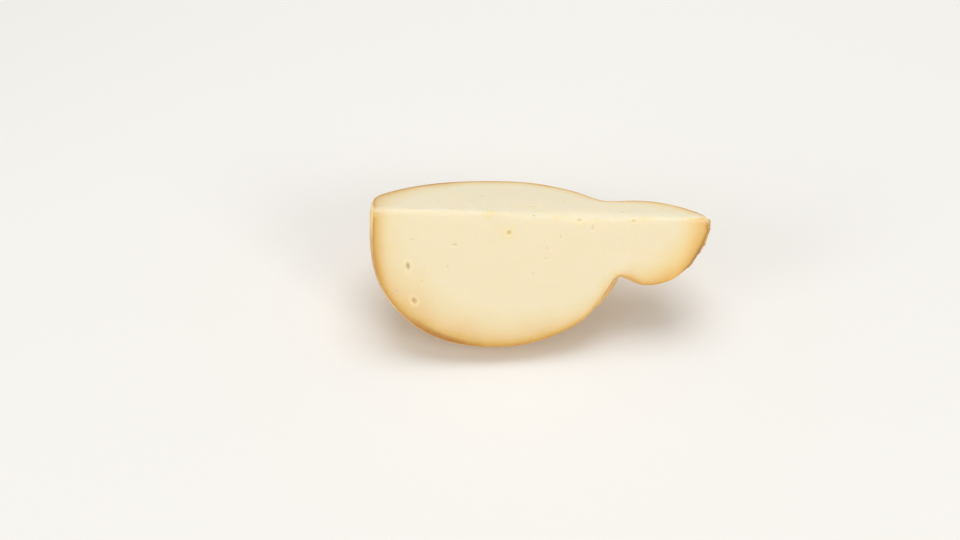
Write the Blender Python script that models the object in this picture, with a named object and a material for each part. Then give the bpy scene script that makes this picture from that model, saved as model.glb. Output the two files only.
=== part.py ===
"""A lengthwise quarter of an aged stretched-curd cheese, lying on its rind.

Metres, +Z up. The cheese's own axis is its local X, from the flat tail at 0 to the head's tip at
LENGTH. The front cut hangs from that axis towards -Z and the back cut reaches out towards +Y, so the
rind sweeps the right angle between them. The object is then rolled and pitched as the piece lies.
"""

from math import cos, exp, pi, radians, sin
from typing import NamedTuple

import bmesh
import bpy
from mathutils import Euler, Matrix, Vector, noise
from mathutils.geometry import interpolate_bezier

NODE_NAME = "cheese_quarter"

# The whole cheese, tail to tip, and how the quarter lies.
LENGTH = 0.190
ROLL = radians(30.6)          # the front cut leans back by this much from upright
PITCH = radians(3.8)          # the head is lower than the tail
FLAT_DEPTH = 0.0022           # how far the soft curd has settled where it rests


class Knot(NamedTuple):
    """A point of a cut's outline and its slopes in degrees, coming from the tail and going on."""

    station: float            # distance from the tail along the axis
    radius: float             # distance from the axis
    arriving: float
    leaving: float


FRONT_CUT = (
    Knot(0.0000, 0.0000, 90, 90),        # middle of the tail
    Knot(0.0095, 0.0520, 56, 56),        # tail's rounded corner
    Knot(0.0684, 0.0805, 0, 0),          # belly
    Knot(0.1161, 0.0674, -30, -30),      # shoulder
    Knot(0.1404, 0.0359, -52, -4),       # neck, where the cord pulled it in
    Knot(0.1576, 0.0402, 0, 0),          # head
    Knot(0.1859, 0.0194, -64, -64),      # head's brow
    Knot(LENGTH, 0.0000, -92, -92),      # tip
)
BACK_CUT = (
    Knot(0.0000, 0.0000, 90, 90),
    Knot(0.0053, 0.0380, 58, 58),
    Knot(0.0825, 0.0843, 0, 0),
    Knot(0.1185, 0.0628, -49, -49),
    Knot(0.1355, 0.0348, -47, -9),
    Knot(0.1563, 0.0380, 0, 0),
    Knot(0.1794, 0.0230, -57, -57),
    Knot(LENGTH, 0.0000, -70, -70),
)
HANDLE_SHARE = 0.38           # each Bezier handle, as a share of the straight line between knots
SPAN_STEPS = (10, 18, 14, 12, 9, 14, 9)
ANGLE_STEPS = 40
CROWDING = 0.5                # how much closer together the rows are near the two cuts

# Relief of the rind. It is nil at both cuts, whose outlines are given above.
RIM_PULL = 0.0020             # the knife drew the rind in, so it stands proud behind the cuts
RIM_REACH = 0.0030
PLEAT_STATION = 0.138         # folds gathered by the cord round the neck
PLEAT_REACH = 0.016
PLEAT_DEPTH = 0.0007
PLEATS_PER_TURN = 24
PUCKER_REACH = 0.026          # folds that run together at the head's tip
PUCKER_START = 0.25           # share of that reach over which they fade in from the tip
PUCKER_DEPTH = 0.0012
PUCKERS_PER_TURN = 20
SWELL_SIZE = 0.034            # broad, shallow unevenness of a hand-formed cheese
SWELL_DEPTH = 0.0009

# Edge where the two cuts meet: stations and how far the front cut's edge is worn down there.
EDGE_WEAR = (
    (0.000, 0.0000),
    (0.026, -0.0003),
    (0.067, -0.0007),
    (0.088, 0.0005),
    (0.105, 0.0009),
    (0.116, 0.0023),
    (0.128, 0.0015),
    (0.151, 0.0007),
    (LENGTH, 0.0000),
)
EDGE_STEPS = 60
EDGE_BAND = 0.005             # width of the strip on the back cut that takes up the wear
EDGE_TAPER = 0.045            # over this length that strip narrows to nothing at both ends


class Eye(NamedTuple):
    """A small hole in the front cut: where it is and its half width, half height and depth."""

    station: float
    below_edge: float
    half_width: float
    half_height: float
    depth: float


EYES = (
    Eye(0.0202, 0.0323, 0.0009, 0.0016, 0.0016),
    Eye(0.0246, 0.0539, 0.0010, 0.0012, 0.0013),
    Eye(0.0772, 0.0118, 0.0011, 0.0011, 0.0014),
)

MERGE_DISTANCE = 1e-6
CURD_COLOUR = (0.90, 0.78, 0.53, 1.0)
CURD_ROUGHNESS = 0.45
SHARP_ANGLE = radians(40)


def clear_scene():
    for old in list(bpy.data.objects):
        bpy.data.objects.remove(old, do_unlink=True)


def smooth_step(share):
    share = min(max(share, 0.0), 1.0)
    return share * share * (3 - 2 * share)


def slope_vector(degrees):
    return Vector((cos(radians(degrees)), sin(radians(degrees)), 0.0))


def outline(knots):
    """Points of a smooth outline through the knots, as (station, radius, 0)."""
    points = []
    for first, second, steps in zip(knots, knots[1:], SPAN_STEPS):
        start = Vector((first.station, first.radius, 0.0))
        end = Vector((second.station, second.radius, 0.0))
        handle = (end - start).length * HANDLE_SHARE
        leaving = start + slope_vector(first.leaving) * handle
        arriving = end - slope_vector(second.arriving) * handle
        span = interpolate_bezier(start, leaving, arriving, end, steps + 1)
        points.extend(span[:-1])
    points.append(end)
    return points


def knots_at(share):
    """Knots of the outline at a share of the way from the front cut to the back cut."""
    mixed = []
    for front, back in zip(FRONT_CUT, BACK_CUT):
        mixed.append(Knot(*(a + (b - a) * share for a, b in zip(front, back))))
    return mixed


def relief(point, angle):
    """How far the rind rises, or falls, at an outline point and an angle from the front cut."""
    from_cut = point.y * sin(min(angle, pi / 2 - angle))
    pull = RIM_PULL * (1 - exp(-from_cut / RIM_REACH))
    from_neck = (point.x - PLEAT_STATION) / PLEAT_REACH
    pleats = PLEAT_DEPTH * sin(PLEATS_PER_TURN * angle) * max(0.0, 1 - from_neck**2)
    from_tip = (point - Vector((LENGTH, 0.0, 0.0))).length / PUCKER_REACH
    puckers = PUCKER_DEPTH * sin(PUCKERS_PER_TURN * angle) * max(0.0, 1 - from_tip)
    puckers *= smooth_step(from_tip / PUCKER_START)
    place = Vector((point.x, point.y * cos(angle), point.y * sin(angle))) / SWELL_SIZE
    swell = SWELL_DEPTH * noise.noise(place) * sin(2 * angle)
    return pull + pleats + puckers + swell


def row_angle(index):
    """Angle of a row from the front cut, with the rows closer together near both cuts."""
    even = index / ANGLE_STEPS
    crowded = (1 - cos(pi * even)) / 2
    return pi / 2 * (even + (crowded - even) * CROWDING)


def rind_row(angle):
    """Points of the rind at an angle from the front cut, from tail to tip."""
    points = outline(knots_at(smooth_step(angle / (pi / 2))))
    row = []
    for before, point, after in zip([points[0]] + points, points, points[1:] + [points[-1]]):
        along = (after - before).normalized()
        outward = Vector((-along.y, along.x, 0.0))
        raised = point + outward * relief(point, angle)
        row.append(Vector((raised.x, raised.y * sin(angle), -raised.y * cos(angle))))
    row[0] = Vector((0.0, 0.0, 0.0))
    row[-1] = Vector((LENGTH, 0.0, 0.0))
    return row


def edge_wear(station):
    for (here, wear), (there, next_wear) in zip(EDGE_WEAR, EDGE_WEAR[1:]):
        if station <= there:
            return wear + (next_wear - wear) * smooth_step((station - here) / (there - here))
    return 0.0


def nearest(bm, place):
    return min(bm.verts, key=lambda vert: (vert.co - place).length_squared)


def add_rind(bm):
    """Bend a flat grid into the rind and return the rows of vertices along both cuts."""
    columns = sum(SPAN_STEPS)
    grid = bmesh.ops.create_grid(bm, x_segments=columns, y_segments=ANGLE_STEPS, size=1.0)["verts"]
    rows = [[None] * (columns + 1) for _ in range(ANGLE_STEPS + 1)]
    for vert in grid:
        column = round((vert.co.x + 1) / 2 * columns)
        row = round((vert.co.y + 1) / 2 * ANGLE_STEPS)
        rows[row][column] = vert
    for index, row in enumerate(rows):
        for vert, place in zip(row, rind_row(row_angle(index))):
            vert.co = place
    ends = [row[0] for row in rows] + [row[-1] for row in rows]
    front = rows[0][1:-1]
    back = rows[-1][1:-1]
    bmesh.ops.remove_doubles(bm, verts=ends, dist=MERGE_DISTANCE)
    return front, back


def add_cuts(bm, front, back):
    """Close the quarter with its two cuts, which meet in a slightly worn edge."""
    tail = nearest(bm, Vector((0.0, 0.0, 0.0)))
    tip = nearest(bm, Vector((LENGTH, 0.0, 0.0)))
    worn = [tail]
    band = [tail]
    for step in range(1, EDGE_STEPS):
        station = LENGTH * step / EDGE_STEPS
        taper = min(1.0, station / EDGE_TAPER, (LENGTH - station) / EDGE_TAPER)
        worn.append(bm.verts.new((station, 0.0, -edge_wear(station))))
        band.append(bm.verts.new((station, EDGE_BAND * taper, 0.0)))
    worn.append(tip)
    band.append(tip)
    bm.faces.new(worn + front[::-1])
    bm.faces.new(band + back[::-1])
    for index in range(EDGE_STEPS):
        corners = [worn[index], worn[index + 1], band[index + 1], band[index]]
        bm.faces.new(list(dict.fromkeys(corners)))


def settle(bm, turn):
    """Cut the flat resting spot, and return the place that puts it on the ground, centred."""
    lowest = min((turn @ vert.co).z for vert in bm.verts)
    ground = lowest + FLAT_DEPTH
    up = turn.inverted() @ Vector((0.0, 0.0, 1.0))
    cut = bmesh.ops.bisect_plane(
        bm,
        geom=bm.verts[:] + bm.edges[:] + bm.faces[:],
        plane_co=up * ground,
        plane_no=up,
        clear_inner=True,
    )
    rim = [piece for piece in cut["geom_cut"] if isinstance(piece, bmesh.types.BMEdge)]
    bmesh.ops.contextual_create(bm, geom=rim)
    placed = [turn @ vert.co for vert in bm.verts]
    middle = [(min(p[axis] for p in placed) + max(p[axis] for p in placed)) / 2 for axis in (0, 1)]
    return Vector((-middle[0], -middle[1], -ground))


def material(name, colour, roughness):
    made = bpy.data.materials.new(name)
    made.use_nodes = True
    shader = made.node_tree.nodes["Principled BSDF"]
    shader.inputs["Base Color"].default_value = colour
    shader.inputs["Roughness"].default_value = roughness
    shader.inputs["Metallic"].default_value = 0.0
    return made


def new_object(name, bm):
    mesh = bpy.data.meshes.new(name)
    bm.to_mesh(mesh)
    bm.free()
    made = bpy.data.objects.new(name, mesh)
    bpy.context.scene.collection.objects.link(made)
    return made


def make_eye_cutter():
    """One mesh of small ellipsoids that bite the eyes out of the front cut."""
    bm = bmesh.new()
    for eye in EYES:
        size = Matrix.Diagonal((eye.half_width, eye.depth, eye.half_height, 1.0))
        place = Matrix.Translation((eye.station, 0.0, -eye.below_edge))
        bmesh.ops.create_icosphere(bm, subdivisions=2, radius=1.0, matrix=place @ size)
    cutter = new_object("eye_cutter", bm)
    cutter.hide_render = True
    cutter.display_type = "WIRE"
    return cutter


def make_quarter():
    bm = bmesh.new()
    front, back = add_rind(bm)
    add_cuts(bm, front, back)
    turn = Euler((-ROLL, PITCH, 0.0)).to_matrix()
    place = settle(bm, turn)
    bmesh.ops.recalc_face_normals(bm, faces=bm.faces[:])
    quarter = new_object(NODE_NAME, bm)
    quarter.rotation_euler = (-ROLL, PITCH, 0.0)
    quarter.location = place
    quarter.data.materials.append(material("cheese", CURD_COLOUR, CURD_ROUGHNESS))
    quarter.data.shade_smooth()
    quarter.data.set_sharp_from_angle(angle=SHARP_ANGLE)
    return quarter


def bite_eyes(quarter):
    cutter = make_eye_cutter()
    cutter.rotation_euler = quarter.rotation_euler
    cutter.location = quarter.location
    eyes = quarter.modifiers.new("eyes", "BOOLEAN")
    eyes.operation = "DIFFERENCE"
    eyes.solver = "EXACT"
    eyes.object = cutter


def main():
    clear_scene()
    quarter = make_quarter()
    bite_eyes(quarter)


main()
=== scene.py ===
# %% [markdown]
# # A quarter of an aged stretched-curd cheese
#
# The object is one lengthwise quarter of a flask-shaped cheese: a broad belly, a neck where a cord
# once held it, and a round head. Two knife cuts meet along the cheese's axis, and a thin golden rind
# sweeps round between them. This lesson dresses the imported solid: it makes a fine mesh of the same
# form, gives the curd and the rind their finishes, and lights them.

from math import cos, degrees, exp, hypot, inf, pi, radians, sin, tau
from typing import NamedTuple

import bmesh
import bpy
from mathutils import Euler, Matrix, Vector, noise
from mathutils.bvhtree import BVHTree
from mathutils.geometry import interpolate_bezier
from mathutils.kdtree import KDTree


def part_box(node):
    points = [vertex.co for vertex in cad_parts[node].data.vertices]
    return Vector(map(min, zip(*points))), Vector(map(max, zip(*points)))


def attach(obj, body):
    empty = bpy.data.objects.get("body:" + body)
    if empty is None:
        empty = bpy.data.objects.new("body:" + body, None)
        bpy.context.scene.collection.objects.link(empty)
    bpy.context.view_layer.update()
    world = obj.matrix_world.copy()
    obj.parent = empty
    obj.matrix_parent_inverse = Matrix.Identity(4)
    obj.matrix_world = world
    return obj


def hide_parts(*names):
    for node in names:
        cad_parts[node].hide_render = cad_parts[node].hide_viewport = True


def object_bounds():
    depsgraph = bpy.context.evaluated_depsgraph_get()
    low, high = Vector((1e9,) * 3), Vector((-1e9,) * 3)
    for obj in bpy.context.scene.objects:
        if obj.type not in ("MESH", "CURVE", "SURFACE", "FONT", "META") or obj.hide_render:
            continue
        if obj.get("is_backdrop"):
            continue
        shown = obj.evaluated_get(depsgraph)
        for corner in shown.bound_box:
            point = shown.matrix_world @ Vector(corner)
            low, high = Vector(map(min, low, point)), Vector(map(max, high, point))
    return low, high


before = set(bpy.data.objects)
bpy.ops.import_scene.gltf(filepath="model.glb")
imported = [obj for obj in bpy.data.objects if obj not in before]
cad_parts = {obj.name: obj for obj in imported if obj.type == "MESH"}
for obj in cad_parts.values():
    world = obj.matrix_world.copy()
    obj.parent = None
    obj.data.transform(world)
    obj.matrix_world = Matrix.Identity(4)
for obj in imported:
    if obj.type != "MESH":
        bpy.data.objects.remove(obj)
cad_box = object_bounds()
NODE = "cheese_quarter"
solid_low, solid_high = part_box(NODE)
print("packed solid, mm:", [round(1000 * side, 1) for side in solid_high - solid_low])

# %% [markdown]
# ## The cheese's own axes
#
# A turned form is easiest to think about in its own axes: X runs along the cheese from the tail to
# the head's tip, the front cut hangs from that axis towards -Z, and the back cut reaches out towards
# +Y. Everything is modelled there and then laid down as the piece lies: rolled back, head a little
# low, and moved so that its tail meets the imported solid's. The resting turn is applied to the mesh
# and not to the object, because an exported piece has to sit at the origin, unturned.

# %% How the piece lies
MM = 0.001
LENGTH = 190 * MM
TAIL = Vector((0.0, 0.0, 0.0))
TIP = Vector((LENGTH, 0.0, 0.0))
QUARTER = radians(90)
ROLL = radians(30.6)
PITCH = radians(3.8)
LAY_DOWN = Euler((-ROLL, PITCH, 0.0)).to_matrix().to_4x4()
print("roll and pitch, degrees:", round(degrees(ROLL), 1), round(degrees(PITCH), 1))

# %% [markdown]
# ## The outlines of the two cuts
#
# Each cut shows the cheese's profile from tail to tip. A few knots carry it: the rounded corner of
# the tail, the belly, the shoulder, the neck, the head and its brow. Between two knots runs a Bezier
# span whose slopes the knots give, so the curve stays smooth with eight points, and the neck can
# still be a crease because its knot holds two slopes. The cheese was shaped by hand, so the two
# profiles differ a little and the rind has to pass gradually from one to the other.

# %% Knots
class Knot(NamedTuple):
    """A point of a cut's outline in metres, and its slopes in degrees, arriving and leaving."""

    station: float
    radius: float
    arriving: float
    leaving: float


FRONT_CUT = (
    Knot(0.0000, 0.0000, 90, 90),
    Knot(0.0095, 0.0520, 56, 56),
    Knot(0.0684, 0.0805, 0, 0),
    Knot(0.1161, 0.0674, -30, -30),
    Knot(0.1404, 0.0359, -52, -4),
    Knot(0.1580, 0.0411, 0, 0),
    Knot(0.1872, 0.0203, -64, -64),
    Knot(LENGTH, 0.0000, -104, -104),
)
BACK_CUT = (
    Knot(0.0000, 0.0000, 90, 90),
    Knot(0.0053, 0.0380, 58, 58),
    Knot(0.0825, 0.0843, 0, 0),
    Knot(0.1185, 0.0628, -49, -49),
    Knot(0.1355, 0.0348, -47, -9),
    Knot(0.1563, 0.0380, 0, 0),
    Knot(0.1794, 0.0230, -57, -57),
    Knot(LENGTH, 0.0000, -70, -70),
)
print("knots of a cut:", len(FRONT_CUT))

# %% Outline
HANDLE_SHARE = 0.38
SPAN_STEPS = (36, 58, 46, 40, 28, 44, 28)


def slope_vector(degrees):
    """A step of length 1 along an outline that has a slope."""
    return Vector((cos(radians(degrees)), sin(radians(degrees)), 0.0))


def outline(knots):
    """Points of a smooth outline through the knots, as (station, radius, 0)."""
    points = []
    for first, second, steps in zip(knots, knots[1:], SPAN_STEPS):
        start = Vector((first.station, first.radius, 0.0))
        end = Vector((second.station, second.radius, 0.0))
        handle = (end - start).length * HANDLE_SHARE
        leaving = start + slope_vector(first.leaving) * handle
        arriving = end - slope_vector(second.arriving) * handle
        span = interpolate_bezier(start, leaving, arriving, end, steps + 1)
        points.extend(span[:-1])
    points.append(end)
    return points


def smooth_step(share):
    """A share eased at both ends, and kept from 0 to 1."""
    share = min(max(share, 0.0), 1.0)
    return share * share * (3 - 2 * share)


def knots_at(share):
    """Knots of the outline at a share of the way from the front cut to the back cut."""
    mixed = []
    for front, back in zip(FRONT_CUT, BACK_CUT):
        mixed.append(Knot(*(a + (b - a) * share for a, b in zip(front, back))))
    return mixed


print("points along an outline:", len(outline(FRONT_CUT)))

# %% [markdown]
# ## The relief of the rind
#
# The solid already carries the broad relief: the rind stands proud behind the cuts, where the knife
# drew it in, it is pleated at the neck, puckered at the head's tip, and swells gently like anything
# shaped by hand. This mesh is ten times finer, so it can also hold what drying leaves: shallow
# wrinkles that run along the cheese, small dimples, and knobs at the gathered end of the head. Perlin
# noise gives them all. Where it changes sign it draws a net of thin lines, which are the wrinkles,
# and sampling it in a space that is squeezed along the axis stretches them lengthwise. The fold that
# a cord squeezed up on the neck's slope, beside the front cut, is a bell curve with fine creases.

# %% Sizes of the relief
RIM_PULL = 2.0 * MM
RIM_REACH = 3.0 * MM
PLEAT_STATION = 138 * MM
PLEAT_REACH = 16 * MM
PLEAT_DEPTH = 0.7 * MM
PLEATS_PER_TURN = 24
PUCKER_REACH = 26 * MM
PUCKER_START = 0.25
PUCKER_DEPTH = 1.2 * MM
PUCKERS_PER_TURN = 20
SWELL_SIZE = 34 * MM
SWELL_DEPTH = 0.9 * MM
WRINKLE_SIZE = 6 * MM
WRINKLE_STRETCH = 3.0
WRINKLE_DEPTH = 0.34 * MM
WRINKLE_WIDTH = 0.35
DIMPLE_SIZE = 9 * MM
DIMPLE_DEPTH = 0.25 * MM
WART_SIZE = 1.7 * MM
WART_CLUSTER = 4.6 * MM
WART_HEIGHT = 0.9 * MM
WART_STATION = 168 * MM
WART_REACH = 10 * MM
FOLD_STATION = 135 * MM
FOLD_REACH = 7 * MM
FOLD_CREST = 2.2 * MM
FOLD_WIDTH = 2.3 * MM
FOLD_HEIGHT = 1.8 * MM
FOLD_CREASE = 0.2 * MM
CREASE_SPACING = 1.5 * MM
print("deepest fine relief, mm:", round((WRINKLE_DEPTH + DIMPLE_DEPTH) / MM, 2))


# %% Relief
def broad_relief(point, angle):
    """Relief that the solid has too, at an outline point and an angle from the front cut."""
    from_cut = point.y * sin(min(angle, QUARTER - angle))
    pull = RIM_PULL * (1 - exp(-from_cut / RIM_REACH))
    from_neck = (point.x - PLEAT_STATION) / PLEAT_REACH
    pleats = PLEAT_DEPTH * sin(PLEATS_PER_TURN * angle) * max(0.0, 1 - from_neck**2)
    from_tip = (point - TIP).length / PUCKER_REACH
    puckers = PUCKER_DEPTH * sin(PUCKERS_PER_TURN * angle) * max(0.0, 1 - from_tip)
    puckers *= smooth_step(from_tip / PUCKER_START)
    place = Vector((point.x, point.y * cos(angle), point.y * sin(angle))) / SWELL_SIZE
    swell = SWELL_DEPTH * noise.noise(place) * sin(2 * angle)
    return pull + pleats + puckers + swell


def fine_relief(place):
    """Wrinkles and dimples of a dried rind at a place in the cheese's own axes."""
    squeezed = Vector((place.x / WRINKLE_STRETCH, place.y, place.z)) / WRINKLE_SIZE
    wrinkles = WRINKLE_DEPTH * max(0.0, 1 - abs(noise.noise(squeezed)) / WRINKLE_WIDTH)
    dimples = DIMPLE_DEPTH * noise.noise(place / DIMPLE_SIZE)
    return dimples - wrinkles


def warts(place):
    """The rough knobs of the gathered end, on the last stretch of the head."""
    at_end = smooth_step((place.x - WART_STATION) / WART_REACH)
    knobs = noise.noise(place / WART_SIZE) + noise.noise(place / WART_CLUSTER)
    return WART_HEIGHT * at_end * max(0.0, knobs)


def neck_fold(point, angle):
    """The fold that a cord squeezed up on the neck's slope, just behind the front cut."""
    along = (point.x - FOLD_STATION) / FOLD_REACH
    behind = point.y * angle
    creases = FOLD_CREASE * sin(tau * behind / CREASE_SPACING)
    swell = (FOLD_HEIGHT - creases) * exp(-(((behind - FOLD_CREST) / FOLD_WIDTH) ** 2))
    return swell * max(0.0, 1 - along**2)


# %% [markdown]
# ## One sheet, wrapped all the way round
#
# The quarter could be three patches sewn together, but a single grid is simpler: its rows start on
# the axis, go down the front cut to the rim, sweep round the rind, and come back over the back cut
# to the axis. The first and last row then meet on the axis, and both ends of every row meet at the
# tail and at the tip, so merging close points closes the sheet into one solid skin. Rows are packed
# closer together near the axis and the rims, where small shapes need them.

# %% Places of the rind's rows
RIND_ROWS = 128
CUT_ROWS = 76
RIND_CROWDING = 0.6
CUT_CROWDING = 0.85


def crowded(share, crowding):
    """An even share, moved towards 0 and 1 so that steps there are smaller."""
    bunched = (1 - cos(pi * share)) / 2
    return share + (bunched - share) * crowding


def away_from_cuts(angle):
    """1 in the middle of the rind and 0 at both cuts, where fine relief would make the rims ragged."""
    return sin(2 * angle) ** 0.5 if 0 < angle < QUARTER else 0.0


def rind_row(angle):
    """Points of the rind at an angle from the front cut, in the cheese's own axes."""
    points = outline(knots_at(smooth_step(angle / QUARTER)))
    fade = away_from_cuts(angle)
    row = []
    for before, point, after in zip([points[0]] + points, points, points[1:] + [points[-1]]):
        along = (after - before).normalized()
        outward = Vector((-along.y, along.x, 0.0))
        place = Vector((point.x, point.y * sin(angle), -point.y * cos(angle)))
        height = broad_relief(point, angle) + neck_fold(point, angle)
        height += fine_relief(place) * fade + warts(place)
        raised = point + outward * height
        row.append(Vector((raised.x, raised.y * sin(angle), -raised.y * cos(angle))))
    row[0] = TAIL
    row[-1] = TIP
    return row


shares = [crowded(step / RIND_ROWS, RIND_CROWDING) for step in range(RIND_ROWS + 1)]
rind = [rind_row(QUARTER * share) for share in shares]
front_rim = rind[0]
back_rim = rind[-1]
print("rind rows:", len(rind), "points in a row:", len(front_rim))

# %% [markdown]
# ## The knife's two cuts
#
# A knife leaves long shallow waves across a firm curd, sinks a hair below the tougher rind at the
# rim, and breaks small crumbs out of the edge where the cuts meet, which is soon rounded. That edge
# also wanders, as the second cut never meets the first exactly. These are all heights above a flat
# cut, so a function of the place and of its distance to the rim and to the axis gives them.

# %% Values that change along the cheese
def by_station(*pairs):
    """A table of (station, value) pairs, from stations in millimetres."""
    return [(station * MM, value) for station, value in pairs]


def between(table, station):
    """A value from a table of (station, value) pairs, eased from each pair to the next."""
    for (here, value), (there, next_value) in zip(table, table[1:]):
        if station <= there:
            return value + (next_value - value) * smooth_step((station - here) / (there - here))
    return table[-1][1]


# %% The worn edge and the knife's waves
EDGE_WEAR = by_station(
    (0, 0.0 * MM), (26, -0.3 * MM), (67, -0.7 * MM), (88, 0.5 * MM), (105, 0.9 * MM),
    (116, 2.3 * MM), (128, 1.5 * MM), (151, 0.7 * MM), (190, 0.0 * MM),
)
EDGE_BAND = 5 * MM
EDGE_ROUND = 1.3 * MM
EDGE_REACH = 1.9 * MM
CRUMB_DEPTH = 0.6 * MM
CRUMB_SIZE = 2.6 * MM
WAVE_SIZE = 16 * MM
WAVE_STRETCH = 3.0
WAVE_DEPTH = 0.22 * MM
LIP_HEIGHT = 0.30 * MM
LIP_REACH = 0.9 * MM
INTO_CURD = Vector((0.0, 1.0, -1.0)).normalized()


def from_edge(place):
    """Distance from the wandering edge where the two cuts meet, which hangs below the axis."""
    return hypot(place.y, place.z + between(EDGE_WEAR, place.x))


def worn(place):
    """A place of the sharp quarter, moved to where the rounded and crumbled edge is."""
    broken = CRUMB_DEPTH * max(0.0, noise.noise(Vector((place.x, 0.0, 0.0)) / CRUMB_SIZE))
    return place + INTO_CURD * (EDGE_ROUND + broken) * exp(-from_edge(place) / EDGE_REACH)


def cut_height(place, from_rim):
    """Height of a cut's surface over its plane: low waves, and a lip left standing at the rim."""
    across = Vector((place.x / WAVE_STRETCH, place.y, place.z)) / WAVE_SIZE
    waves = WAVE_DEPTH * noise.noise(across)
    lip = LIP_HEIGHT * exp(-from_rim / LIP_REACH) - LIP_HEIGHT
    return (waves + lip) * min(1.0, from_rim / LIP_REACH)


# %% Places of the cuts' rows
def arc_shares(points):
    """How far along the outline each point is, from 0 at the tail to 1 at the tip."""
    lengths = [0.0]
    for before, after in zip(points, points[1:]):
        lengths.append(lengths[-1] + (after - before).length)
    return [length / lengths[-1] for length in lengths]


def near_rim(rim):
    """A tree that finds the nearest point of a rim, and how far away it is."""
    tree = KDTree(len(rim))
    for index, point in enumerate(rim):
        tree.insert(point, index)
    tree.balance()
    return tree


def axis_stations():
    """Where each column starts on the axis. Both cuts share these, so that their rows merge there."""
    shares = zip(arc_shares(front_rim), arc_shares(back_rim))
    return [LENGTH * (front_share + back_share) / 2 for front_share, back_share in shares]


def cut_rows(rim, outward):
    """Rows of points over one cut, from the axis to its rim. Outward is away from the curd."""
    tree = near_rim(rim)
    stations = axis_stations()
    rows = []
    for step in range(CUT_ROWS):
        out = crowded(step / CUT_ROWS, CUT_CROWDING)
        row = []
        for station, rim_point in zip(stations, rim):
            place = Vector((station, 0.0, 0.0)).lerp(rim_point, out)
            from_axis = hypot(place.y, place.z)
            wear = between(EDGE_WEAR, place.x) * exp(-((from_axis / EDGE_BAND) ** 2))
            height = cut_height(place, tree.find(place)[2]) * min(1.0, from_axis / LIP_REACH)
            row.append(place + outward * height + Vector((0.0, 0.0, -wear)))
        row[0] = TAIL
        row[-1] = TIP
        rows.append(row)
    return rows


OUT_OF_FRONT = Vector((0.0, -1.0, 0.0))
OUT_OF_BACK = Vector((0.0, 0.0, 1.0))
front = cut_rows(front_rim, OUT_OF_FRONT)
back = cut_rows(back_rim, OUT_OF_BACK)
sheet = [[worn(place) for place in row] for row in front + rind + back[::-1]]
print("rows round the quarter:", len(sheet))

# %% [markdown]
# ## Bend the grid and close it
#
# create_grid gives a flat sheet with the right number of rows, and each of its points is then moved
# to its place. Faces are told apart while the rows are still known: rind, or cut curd. Merging the
# close points then closes the sheet, and no edge stays open.

# %% Build the skin
RIND_SLOT = 0
CURD_SLOT = 1
MERGE_DISTANCE = 0.001 * MM
COLUMNS = sum(SPAN_STEPS)
LAST_ROW = len(sheet) - 1


def bend_sheet():
    """The grid with its points at the sheet's places and its seams and poles merged."""
    bm = bmesh.new()
    grid = bmesh.ops.create_grid(bm, x_segments=COLUMNS, y_segments=LAST_ROW, size=1.0)
    row_of = {}
    for vert in grid["verts"]:
        column = round((vert.co.x + 1) / 2 * COLUMNS)
        row = round((vert.co.y + 1) / 2 * LAST_ROW)
        row_of[vert] = row
        vert.co = sheet[row][column]
    for face in bm.faces:
        rows = [row_of[vert] for vert in face.verts]
        on_rind = min(rows) >= CUT_ROWS and max(rows) <= CUT_ROWS + RIND_ROWS
        face.material_index = RIND_SLOT if on_rind else CURD_SLOT
    bmesh.ops.remove_doubles(bm, verts=bm.verts[:], dist=MERGE_DISTANCE)
    bmesh.ops.recalc_face_normals(bm, faces=bm.faces[:])
    return bm


skin = bend_sheet()
open_edges = sum(1 for edge in skin.edges if not edge.is_manifold)
print("faces:", len(skin.faces), "open edges:", open_edges)

# %% [markdown]
# ## Eyes
#
# A stretched curd has few eyes, and they are shallow and small: round pits and short slits, a little
# drawn out, and two long slits that are pinched nearly shut at the neck. Some have a yellow stain
# round them. A Boolean with balls would bite them out, but it leaves rims as sharp as a punch does.
# Here the grid is subdivided just round each eye, and its points are pushed in by a bell curve that
# has a low swollen ring outside it. Noise shifts the places a little first, so no outline is even.
# That noise is seeded, because the vector noise would otherwise start from the clock.

# %% Eyes
class Eye(NamedTuple):
    """A pit in a cut, with its place along and away from the axis and its lean in degrees."""

    station: float
    from_axis: float
    length: float
    width: float
    depth: float
    lean: float
    stain: float


def mm_eye(station, from_axis, length, width, depth, lean, stain=0.0):
    """An eye from a place and sizes in millimetres. A few have a share of yellow stain."""
    sizes = [size * MM for size in (station, from_axis, length, width, depth)]
    return Eye(*sizes, lean, stain)


FRONT_EYES = (
    mm_eye(20.4, 33.6, 5.0, 2.7, 1.0, 82),
    mm_eye(24.6, 53.9, 4.2, 3.0, 0.9, 62),
    mm_eye(77.2, 12.5, 3.2, 3.0, 0.7, 0, 0.5),
    mm_eye(46.5, 20.4, 3.6, 1.8, 0.5, 8),
    mm_eye(106.7, 14.0, 3.4, 1.6, 0.4, 88),
    mm_eye(124.7, 8.2, 3.6, 1.8, 0.5, 84),
    mm_eye(116.8, 4.2, 3.4, 2.8, 0.5, 0, 0.3),
    mm_eye(147.8, 3.9, 3.0, 2.0, 0.5, 0, 0.4),
    mm_eye(42.4, 33.3, 2.8, 1.6, 0.4, 45),
    mm_eye(28.5, 42.5, 2.2, 1.6, 0.4, 60),
    mm_eye(92.0, 36.0, 4.0, 1.4, 0.3, 75),
    mm_eye(98.5, 27.0, 3.8, 1.4, 0.3, 6),
    mm_eye(134.3, 46.8, 9.5, 1.2, 0.9, -60),
    mm_eye(138.2, 40.0, 8.0, 1.0, 0.8, -57),
)
BACK_EYES = (
    mm_eye(90.4, 16.9, 8.8, 2.8, 0.8, 6),
    mm_eye(64.0, 41.0, 4.0, 2.8, 0.8, 30),
    mm_eye(38.0, 24.0, 3.0, 2.2, 0.6, 70),
    mm_eye(112.0, 33.0, 3.6, 2.2, 0.6, 15),
)
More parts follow.
